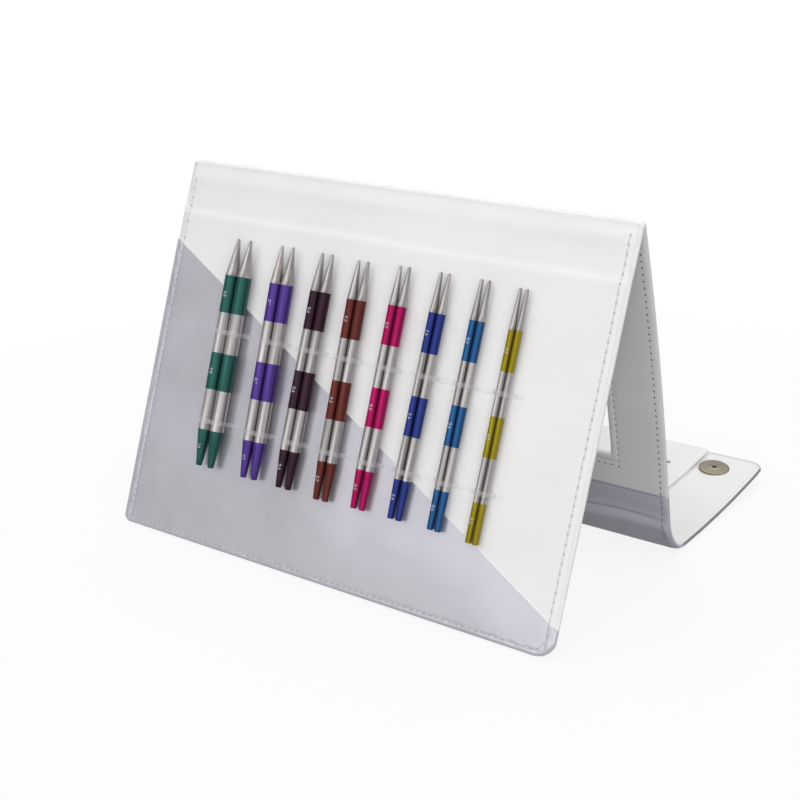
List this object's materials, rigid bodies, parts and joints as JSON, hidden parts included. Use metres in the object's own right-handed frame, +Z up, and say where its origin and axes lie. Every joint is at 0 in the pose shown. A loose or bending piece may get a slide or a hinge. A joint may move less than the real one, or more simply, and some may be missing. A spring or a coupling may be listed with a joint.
{
  "type": "knitting needle case",
  "caption": "Fold-over leather needle case standing as an easel, with needle tips under elastic loops and a snap flap.",
  "frame": {"origin": "on the table, under the centre of the standing case", "axes": "+X along the ridge to the viewer's right, +Y from the needle panel to the flap, +Z up"},
  "size_m": [0.2804, 0.2696, 0.1962],
  "materials": {
    "white_leather": "smooth coated leather, fine grain, satin",
    "grey_leather": "smooth coated leather, pale grey, satin",
    "lining": "smooth lining, satin",
    "overlay": "glossy coated sheet, pale grey",
    "board": "grey board, hidden",
    "film": "clear flexible film",
    "elastic": "clear elastic",
    "snap": "nickel plate, satin",
    "magnet": "plain, hidden",
    "needle_green": "anodised colour bands between bare bands, satin",
    "needle_purple": "anodised colour bands between bare bands, satin",
    "needle_plum": "anodised colour bands between bare bands, satin",
    "needle_brown": "anodised colour bands between bare bands, satin",
    "needle_magenta": "anodised colour bands between bare bands, satin",
    "needle_dark_blue": "anodised colour bands between bare bands, satin",
    "needle_light_blue": "anodised colour bands between bare bands, satin",
    "needle_olive": "anodised colour bands between bare bands, satin"
  },
  "bodies": {
    "back_panel": {"back_panel_cover": "white_leather", "back_panel_band": "grey_leather", "back_panel_board": "board", "back_panel_lining": "lining", "window_film": "film", "ridge_fold": "white_leather"},
    "top_spine": {"top_spine_cover": "white_leather", "top_spine_board": "board", "top_spine_lining": "lining", "crease_fold": "white_leather"},
    "needle_panel": {"stud_washer_left": "snap", "snap_stud_left": "snap", "stud_washer_right": "snap", "snap_stud_right": "snap", "needle_panel_cover": "white_leather", "needle_panel_board": "board", "needle_panel_lining": "lining", "diagonal_overlay": "overlay", "upper_loops": "elastic", "lower_loops": "elastic"},
    "bottom_spine": {"bottom_spine_cover": "grey_leather", "bottom_spine_board": "board", "bottom_spine_lining": "lining", "lower_fold": "grey_leather"},
    "flap": {"socket_washer_left": "snap", "snap_socket_left": "snap", "snap_magnet_left": "magnet", "socket_washer_right": "snap", "snap_socket_right": "snap", "snap_magnet_right": "magnet", "flap_cover": "grey_leather", "flap_band": "grey_leather", "flap_board": "board", "flap_lining": "lining", "flap_fold": "grey_leather", "flap_pad_skin": "white_leather", "flap_pad_core": "board"},
    "tip_80_left": {"needle_80_left": "needle_green"},
    "tip_80_right": {"needle_80_right": "needle_green"},
    "tip_70_left": {"needle_70_left": "needle_purple"},
    "tip_70_right": {"needle_70_right": "needle_purple"},
    "tip_60_left": {"needle_60_left": "needle_plum"},
    "tip_60_right": {"needle_60_right": "needle_plum"},
    "tip_55_left": {"needle_55_left": "needle_brown"},
    "tip_55_right": {"needle_55_right": "needle_brown"},
    "tip_50_left": {"needle_50_left": "needle_magenta"},
    "tip_50_right": {"needle_50_right": "needle_magenta"},
    "tip_45_left": {"needle_45_left": "needle_dark_blue"},
    "tip_45_right": {"needle_45_right": "needle_dark_blue"},
    "tip_40_left": {"needle_40_left": "needle_light_blue"},
    "tip_40_right": {"needle_40_right": "needle_light_blue"},
    "tip_35_left": {"needle_35_left": "needle_olive"},
    "tip_35_right": {"needle_35_right": "needle_olive"}
  },
  "joints": [
    {"name": "ridge_hinge", "type": "hinge", "parent": "back_panel", "child": "top_spine", "pos_m": [0, -0.05977, 0.19398], "axis": [1, 0, 0], "range_deg": [-226.81, 7.19]},
    {"name": "crease_hinge", "type": "hinge", "parent": "top_spine", "child": "needle_panel", "pos_m": [0, -0.07038, 0.16807], "axis": [1, 0, 0], "range_deg": [-97.9, 8.05]},
    {"name": "lower_hinge", "type": "hinge", "parent": "back_panel", "child": "bottom_spine", "pos_m": [0, -0.00757, 0.02256], "axis": [-1, 0, 0], "range_deg": [-67.14, 22.86]},
    {"name": "flap_hinge", "type": "hinge", "parent": "bottom_spine", "child": "flap", "pos_m": [0, 0.01036, 0.00105], "axis": [-1, 0, 0], "range_deg": [-34.69, 53.36]},
    {"name": "pull_80_left", "type": "slide", "parent": "needle_panel", "child": "tip_80_left", "axis": [-0.0198, 0.3469, 0.9377], "range_m": [0, 0.08]},
    {"name": "pull_80_right", "type": "slide", "parent": "needle_panel", "child": "tip_80_right", "axis": [-0.0198, 0.3469, 0.9377], "range_m": [0, 0.08]},
    {"name": "pull_70_left", "type": "slide", "parent": "needle_panel", "child": "tip_70_left", "axis": [-0.0301, 0.3468, 0.9375], "range_m": [0, 0.08]},
    {"name": "pull_70_right", "type": "slide", "parent": "needle_panel", "child": "tip_70_right", "axis": [-0.0301, 0.3468, 0.9375], "range_m": [0, 0.08]},
    {"name": "pull_60_left", "type": "slide", "parent": "needle_panel", "child": "tip_60_left", "axis": [-0.0079, 0.3469, 0.9379], "range_m": [0, 0.08]},
    {"name": "pull_60_right", "type": "slide", "parent": "needle_panel", "child": "tip_60_right", "axis": [-0.0079, 0.3469, 0.9379], "range_m": [0, 0.08]},
    {"name": "pull_55_left", "type": "slide", "parent": "needle_panel", "child": "tip_55_left", "axis": [-0.0206, 0.3469, 0.9377], "range_m": [0, 0.08]},
    {"name": "pull_55_right", "type": "slide", "parent": "needle_panel", "child": "tip_55_right", "axis": [-0.0206, 0.3469, 0.9377], "range_m": [0, 0.08]},
    {"name": "pull_50_left", "type": "slide", "parent": "needle_panel", "child": "tip_50_left", "axis": [-0.004, 0.3469, 0.9379], "range_m": [0, 0.08]},
    {"name": "pull_50_right", "type": "slide", "parent": "needle_panel", "child": "tip_50_right", "axis": [-0.004, 0.3469, 0.9379], "range_m": [0, 0.08]},
    {"name": "pull_45_left", "type": "slide", "parent": "needle_panel", "child": "tip_45_left", "axis": [0.0071, 0.3469, 0.9379], "range_m": [0, 0.08]},
    {"name": "pull_45_right", "type": "slide", "parent": "needle_panel", "child": "tip_45_right", "axis": [0.0071, 0.3469, 0.9379], "range_m": [0, 0.08]},
    {"name": "pull_40_left", "type": "slide", "parent": "needle_panel", "child": "tip_40_left", "axis": [0.0063, 0.3469, 0.9379], "range_m": [0, 0.08]},
    {"name": "pull_40_right", "type": "slide", "parent": "needle_panel", "child": "tip_40_right", "axis": [0.0063, 0.3469, 0.9379], "range_m": [0, 0.08]},
    {"name": "pull_35_left", "type": "slide", "parent": "needle_panel", "child": "tip_35_left", "axis": [0.0016, 0.3469, 0.9379], "range_m": [0, 0.08]},
    {"name": "pull_35_right", "type": "slide", "parent": "needle_panel", "child": "tip_35_right", "axis": [0.0016, 0.3469, 0.9379], "range_m": [0, 0.08]}
  ]
}
